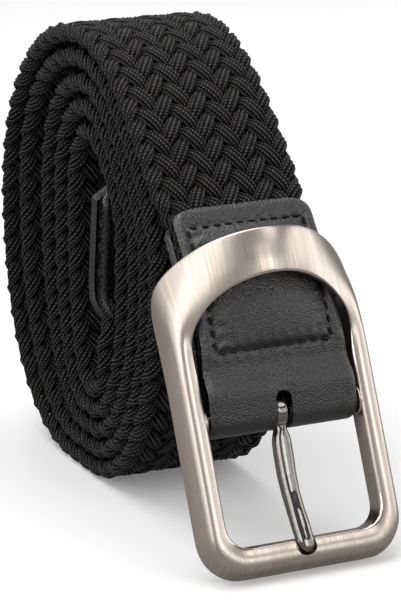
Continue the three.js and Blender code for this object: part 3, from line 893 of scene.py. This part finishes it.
angle = np.arctan2(co[:, 1], co[:, 0])
n, sway, wide, deep = (np.interp(v, table[:, 0], table[:, k]) for k in range(1, 5))
c, d = np.cos(angle), np.sin(angle)
pole = np.sqrt(np.clip(np.minimum(polar, 1 - polar) / 0.03, 0, 1))
across = wide * np.sign(c) * np.abs(c) ** 0.85 * pole
# round above, flatter below
high = deep * np.where(d > 0, np.abs(d), -np.abs(d) ** 0.7) * pole
shaped = np.c_[prong["side"] + sway + across, v, n + high]
setPlaces(shank, toPart(shaped))
bpy.ops.object.select_all(action="DESELECT")
bpy.ops.mesh.primitive_torus_add(major_segments=64, minor_segments=24, major_radius=2, minor_radius=0.5)
eye = bpy.context.active_object
co = vertexPlaces(eye)
radial = np.hypot(co[:, 0], co[:, 1])
ringAngle = np.arctan2(co[:, 1], co[:, 0])
minor = np.arctan2(co[:, 2], radial - 2)
cm, sm = np.cos(minor), np.sin(minor)
middle, halfWall = (prong["bore"] + prong["eye"]) / 2, (prong["eye"] - prong["bore"]) / 2
r = middle + halfWall * np.sign(cm) * np.abs(cm) ** 0.5
x = prong["side"] + prong["eyeHalf"] * np.sign(sm) * np.abs(sm) ** 0.45
setPlaces(eye, toPart(np.c_[x, r * np.cos(ringAngle), r * np.sin(ringAngle)]))
for part in (shank, eye):
    finishMetal(part, 60)
combine(shank, eye, "UNION")
bpy.ops.object.select_all(action="DESELECT")
bpy.ops.mesh.primitive_cylinder_add(vertices=64, radius=1, depth=2)
bore = bpy.context.active_object
co = vertexPlaces(bore)
shaped = np.c_[co[:, 2] * 5, co[:, 0] * prong["bore"], co[:, 1] * prong["bore"]]
setPlaces(bore, toPart(shaped))
faceOut(bore)
combine(shank, bore, "DIFFERENCE")
applyModifier(shank, "skin", "REMESH", mode="VOXEL", voxel_size=prong["voxel"] * mm, use_smooth_shade=True)
applyModifier(shank, "polish", "SMOOTH", factor=0.5, iterations=14)
bpy.ops.object.shade_smooth()
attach(shank, "prong")
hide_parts("prong")
print("belt: pin and prong")


# materials
def dress(obj, material):
    obj.data.materials.clear()
    obj.data.materials.append(material)


def knitGroup():
    # ribs along a cord, each a chain of slanted stitches, from a UV of millimetres along and turns round
    group, into, out = newGroup("knit_stitches", {"UV": (0.0, 0.0, 0.0), "Pitch": 0.85, "Ribs": 8.0},
                                {"Height": "NodeSocketFloat", "Bead glint": "NodeSocketFloat"})
    split = addNode(group, "ShaderNodeSeparateXYZ", (-700, 0))
    group.links.new(into.outputs["UV"], split.inputs[0])
    along = mathNode(group, "DIVIDE", split.outputs[0], into.outputs["Pitch"], (-500, 100))
    around = mathNode(group, "MULTIPLY", split.outputs[1], into.outputs["Ribs"], (-500, -100))
    shifted = mathNode(group, "ADD", around, 0.5, (-350, -100))
    fraction = mathNode(group, "FRACT", shifted, None, (-200, -200))
    onRib = mathNode(group, "SUBTRACT", fraction, 0.5, (-50, -200))
    ribNumber = mathNode(group, "FLOOR", shifted, None, (-200, -50))
    slant = mathNode(group, "MULTIPLY", onRib, 0.8, (100, -50))
    stagger = mathNode(group, "MULTIPLY", ribNumber, 0.43, (-50, 50))
    phase = mathNode(group, "ADD", mathNode(group, "ADD", along, slant, (150, 100)), stagger, (250, 100))
    wave = mathNode(group, "SINE", mathNode(group, "MULTIPLY", phase, math.pi, (350, 100)), None, (450, 100))
    stitch = mathNode(group, "POWER", mathNode(group, "ABSOLUTE", wave, None, (550, 100)), 0.7, (620, 100))
    ribTurn = mathNode(group, "MULTIPLY", around, 2 * math.pi, (0, -300))
    ribWave = mathNode(group, "COSINE", ribTurn, None, (150, -300))
    ribUp = mathNode(group, "MULTIPLY_ADD", ribWave, 0.5, (300, -300), third=0.5)
    ribRound = mathNode(group, "POWER", ribUp, 0.6, (450, -300))
    shape = mathNode(group, "MULTIPLY_ADD", stitch, 0.6, (650, -50), third=0.4)
    height = mathNode(group, "MULTIPLY", shape, ribRound, (750, 0))
    # Bead glint masks the stitch crowns, where a painted highlight is put into the cord's colour
    crown = mathNode(group, "MULTIPLY", stitch, ribRound, (700, -200))
    beadGlint = mathNode(group, "POWER", crown, 2.2, (800, -200))
    group.links.new(height, out.inputs["Height"])
    group.links.new(beadGlint, out.inputs["Bead glint"])
    return group


def grainGroup():
    # fine leather grain: small cells with softer pores, and slow colour change
    group, into, out = newGroup("leather_grain", {"Place": (0.0, 0.0, 0.0), "Cell": 1400.0},
                                {"Height": "NodeSocketFloat", "Shade": "NodeSocketFloat"})
    cells = addNode(group, "ShaderNodeTexVoronoi", (-500, 100), feature="F1")
    group.links.new(into.outputs["Place"], cells.inputs["Vector"])
    group.links.new(into.outputs["Cell"], cells.inputs["Scale"])
    fine = addNode(group, "ShaderNodeTexNoise", (-500, -150))
    fine.inputs["Detail"].default_value = 4
    fineScale = mathNode(group, "MULTIPLY", into.outputs["Cell"], 0.7, (-700, -150))
    group.links.new(into.outputs["Place"], fine.inputs["Vector"])
    group.links.new(fineScale, fine.inputs["Scale"])
    mixed = mathNode(group, "MULTIPLY", fine.outputs[0], 0.8, (-100, 0))
    joined = mathNode(group, "SUBTRACT", mixed, cells.outputs["Distance"], (100, 0))
    group.links.new(joined, out.inputs["Height"])
    group.links.new(noiseNode(group, into.outputs["Place"], 90, 3, (-500, -400)), out.inputs["Shade"])
    return group


def rampNode(tree, fac, stops, place):
    ramp = addNode(tree, "ShaderNodeValToRGB", place)
    while len(ramp.color_ramp.elements) < len(stops):
        ramp.color_ramp.elements.new(0.5)
    for element, (position, colour) in zip(ramp.color_ramp.elements, stops):
        element.position = position
        element.color = (*colour, 1)
    tree.links.new(fac, ramp.inputs[0])
    return ramp.outputs[0]


def bumpNode(tree, height, strength, distance, place):
    bump = addNode(tree, "ShaderNodeBump", place)
    bump.inputs["Strength"].default_value = strength
    bump.inputs["Distance"].default_value = distance
    tree.links.new(height, bump.inputs["Height"])
    return bump.outputs[0]


def noiseNode(tree, vector, scale, detail, place):
    noise = addNode(tree, "ShaderNodeTexNoise", place)
    noise.inputs["Scale"].default_value = scale
    noise.inputs["Detail"].default_value = detail
    tree.links.new(vector, noise.inputs["Vector"])
    return noise.outputs[0]


def grey(value):
    return (value, value, value)


def wornMetal(name, roughness, scale, detail, colours, gloss):
    # polished metal whose tone and gloss are a little uneven
    material, tree, shader = newMaterial(name, roughness, metallic=1.0)
    coords = addNode(tree, "ShaderNodeTexCoord", (-1400, 0))
    wear = noiseNode(tree, coords.outputs["Object"], scale, detail, (-1100, 0))
    tree.links.new(rampNode(tree, wear, colours, (-700, 200)), shader.inputs["Base Color"])
    tree.links.new(rampNode(tree, wear, gloss, (-700, -50)), shader.inputs["Roughness"])
    return material


knit = knitGroup()
grain = grainGroup()

braidMaterial, tree, shader = newMaterial("black_braided_cord", 0.5, specular=0.4)
uv = addNode(tree, "ShaderNodeUVMap", (-1400, 0), uv_map="cord_uv")
stitches = useGroup(tree, knit, (-1100, 0), UV=uv.outputs[0], Pitch=braid["stitchPitch"],
                    Ribs=float(braid["ribs"]))
coords = addNode(tree, "ShaderNodeTexCoord", (-1400, -300))
fuzz = noiseNode(tree, coords.outputs["Object"], 2600, 3, (-1100, -300))
patch = noiseNode(tree, coords.outputs["Object"], 60, 2, (-1100, -550))
# painted highlight: the crowns of the knit beads are painted brighter, flecked by the fine fibre noise, while the
# slow patches are random tone
sparkle = mathNode(tree, "MULTIPLY", fuzz, 2.0, (-950, -250))
paintedGlint = mathNode(tree, "MULTIPLY", stitches.outputs["Bead glint"], sparkle, (-850, -100))
patches = mathNode(tree, "MULTIPLY", patch, 0.2, (-900, -500))
glintAndTone = mathNode(tree, "MULTIPLY_ADD", paintedGlint, 0.85, (-800, 100), third=patches)
# from the near-black cord to the painted glint colour on the bead crowns
cordTonesAndGlint = [(0.05, grey(0.0006)), (0.4, (0.0055, 0.005, 0.005)), (1.0, (0.16, 0.144, 0.138))]
tree.links.new(rampNode(tree, glintAndTone, cordTonesAndGlint, (-600, 100)), shader.inputs["Base Color"])
height = mathNode(tree, "MULTIPLY_ADD", fuzz, 0.25, (-600, -200), third=stitches.outputs["Height"])
tree.links.new(bumpNode(tree, height, 1.0, 0.0008, (-300, -200)), shader.inputs["Normal"])
for obj in braidPieces:
    dress(obj, braidMaterial)

leatherMaterial, tree, shader = newMaterial("black_smooth_leather", 0.4, specular=0.8)
coords = addNode(tree, "ShaderNodeTexCoord", (-1400, 0))
skin = useGroup(tree, grain, (-1100, 0), Place=coords.outputs["Object"], Cell=2400.0)
colour = rampNode(tree, skin.outputs["Shade"], [(0.3, grey(0.0018)), (0.7, (0.0035, 0.0034, 0.0033))], (-700, 200))
tree.links.new(colour, shader.inputs["Base Color"])
rough = rampNode(tree, skin.outputs["Shade"], [(0.3, grey(0.25)), (0.75, grey(0.36))], (-700, -50))
tree.links.new(rough, shader.inputs["Roughness"])
pebbled = bumpNode(tree, skin.outputs["Height"], 0.8, 0.00018, (-400, -250))
tree.links.new(pebbled, shader.inputs["Normal"])
tree.links.new(pebbled, shader.inputs["Coat Normal"])
shader.inputs["Coat Weight"].default_value = 0.5
shader.inputs["Coat Roughness"].default_value = 0.2
for obj in [leatherTab, *tipPieces]:
    dress(obj, leatherMaterial)

threadMaterial, tree, shader = newMaterial("black_thread", 0.6, specular=0.4)
uv = addNode(tree, "ShaderNodeUVMap", (-1200, 0), uv_map="cord_uv")
wave = addNode(tree, "ShaderNodeTexWave", (-900, 0))
wave.inputs["Scale"].default_value = 2.2
wave.inputs["Distortion"].default_value = 0.6
tree.links.new(uv.outputs[0], wave.inputs["Vector"])
colour = rampNode(tree, wave.outputs[1], [(0.0, grey(0.004)), (1.0, grey(0.02))], (-500, 100))
tree.links.new(colour, shader.inputs["Base Color"])
tree.links.new(bumpNode(tree, wave.outputs[1], 0.6, 0.0001, (-400, -200)), shader.inputs["Normal"])
dress(tabStitches, threadMaterial)

satinMaterial, tree, shader = newMaterial("satin_nickel", 0.3, metallic=1.0)
coords = addNode(tree, "ShaderNodeTexCoord", (-1600, 0))
turned = addNode(tree, "ShaderNodeMapping", (-1400, 0))
turned.inputs["Rotation"].default_value = (-buckleSeat["lean"], 0, 0)
turned.inputs["Scale"].default_value = (1, 0.05, 0.025)
tree.links.new(coords.outputs["Object"], turned.inputs["Vector"])
brush = noiseNode(tree, turned.outputs[0], 2600, 4, (-1100, 0))
streak = noiseNode(tree, turned.outputs[0], 420, 2, (-1100, -300))
fineLines = mathNode(tree, "MULTIPLY", brush, 0.6, (-1000, 250))
mixed = mathNode(tree, "MULTIPLY_ADD", streak, 0.4, (-900, 100), third=fineLines)
colour = rampNode(tree, mixed, [(0.35, (0.57, 0.492, 0.423)), (0.65, (0.75, 0.656, 0.576))], (-700, 200))
tree.links.new(colour, shader.inputs["Base Color"])
rough = rampNode(tree, mixed, [(0.35, grey(0.36)), (0.65, grey(0.25))], (-700, -50))
tree.links.new(rough, shader.inputs["Roughness"])
tree.links.new(bumpNode(tree, mixed, 0.25, 0.00004, (-400, -250)), shader.inputs["Normal"])
dress(buckleRing, satinMaterial)

rimMaterial = wornMetal("polished_nickel_rim", 0.14, 600, 4, [(0.3, (0.7, 0.62, 0.54)), (0.7, (0.76, 0.68, 0.6))],
                        [(0.3, grey(0.1)), (0.7, grey(0.2))])
buckleRing.data.materials.append(rimMaterial)
lipLoop = toPart(loops["lip"])
for face in buckleRing.data.polygons:
    nearest = np.linalg.norm(lipLoop - np.array(face.center), axis=1).min()
    face.material_index = int(nearest < ring["rimWide"] * mm)
for label in ("right", "left"):
    dress(bpy.data.objects["pin_lug_" + label], satinMaterial)

polishMaterial = wornMetal("polished_gunmetal", 0.1, 700, 5,
                           [(0.3, (0.26, 0.243, 0.232)), (0.7, (0.34, 0.32, 0.305))],
                           [(0.35, grey(0.04)), (0.75, grey(0.1))])
for obj in (pin, shank):
    dress(obj, polishMaterial)
print("belt: materials")
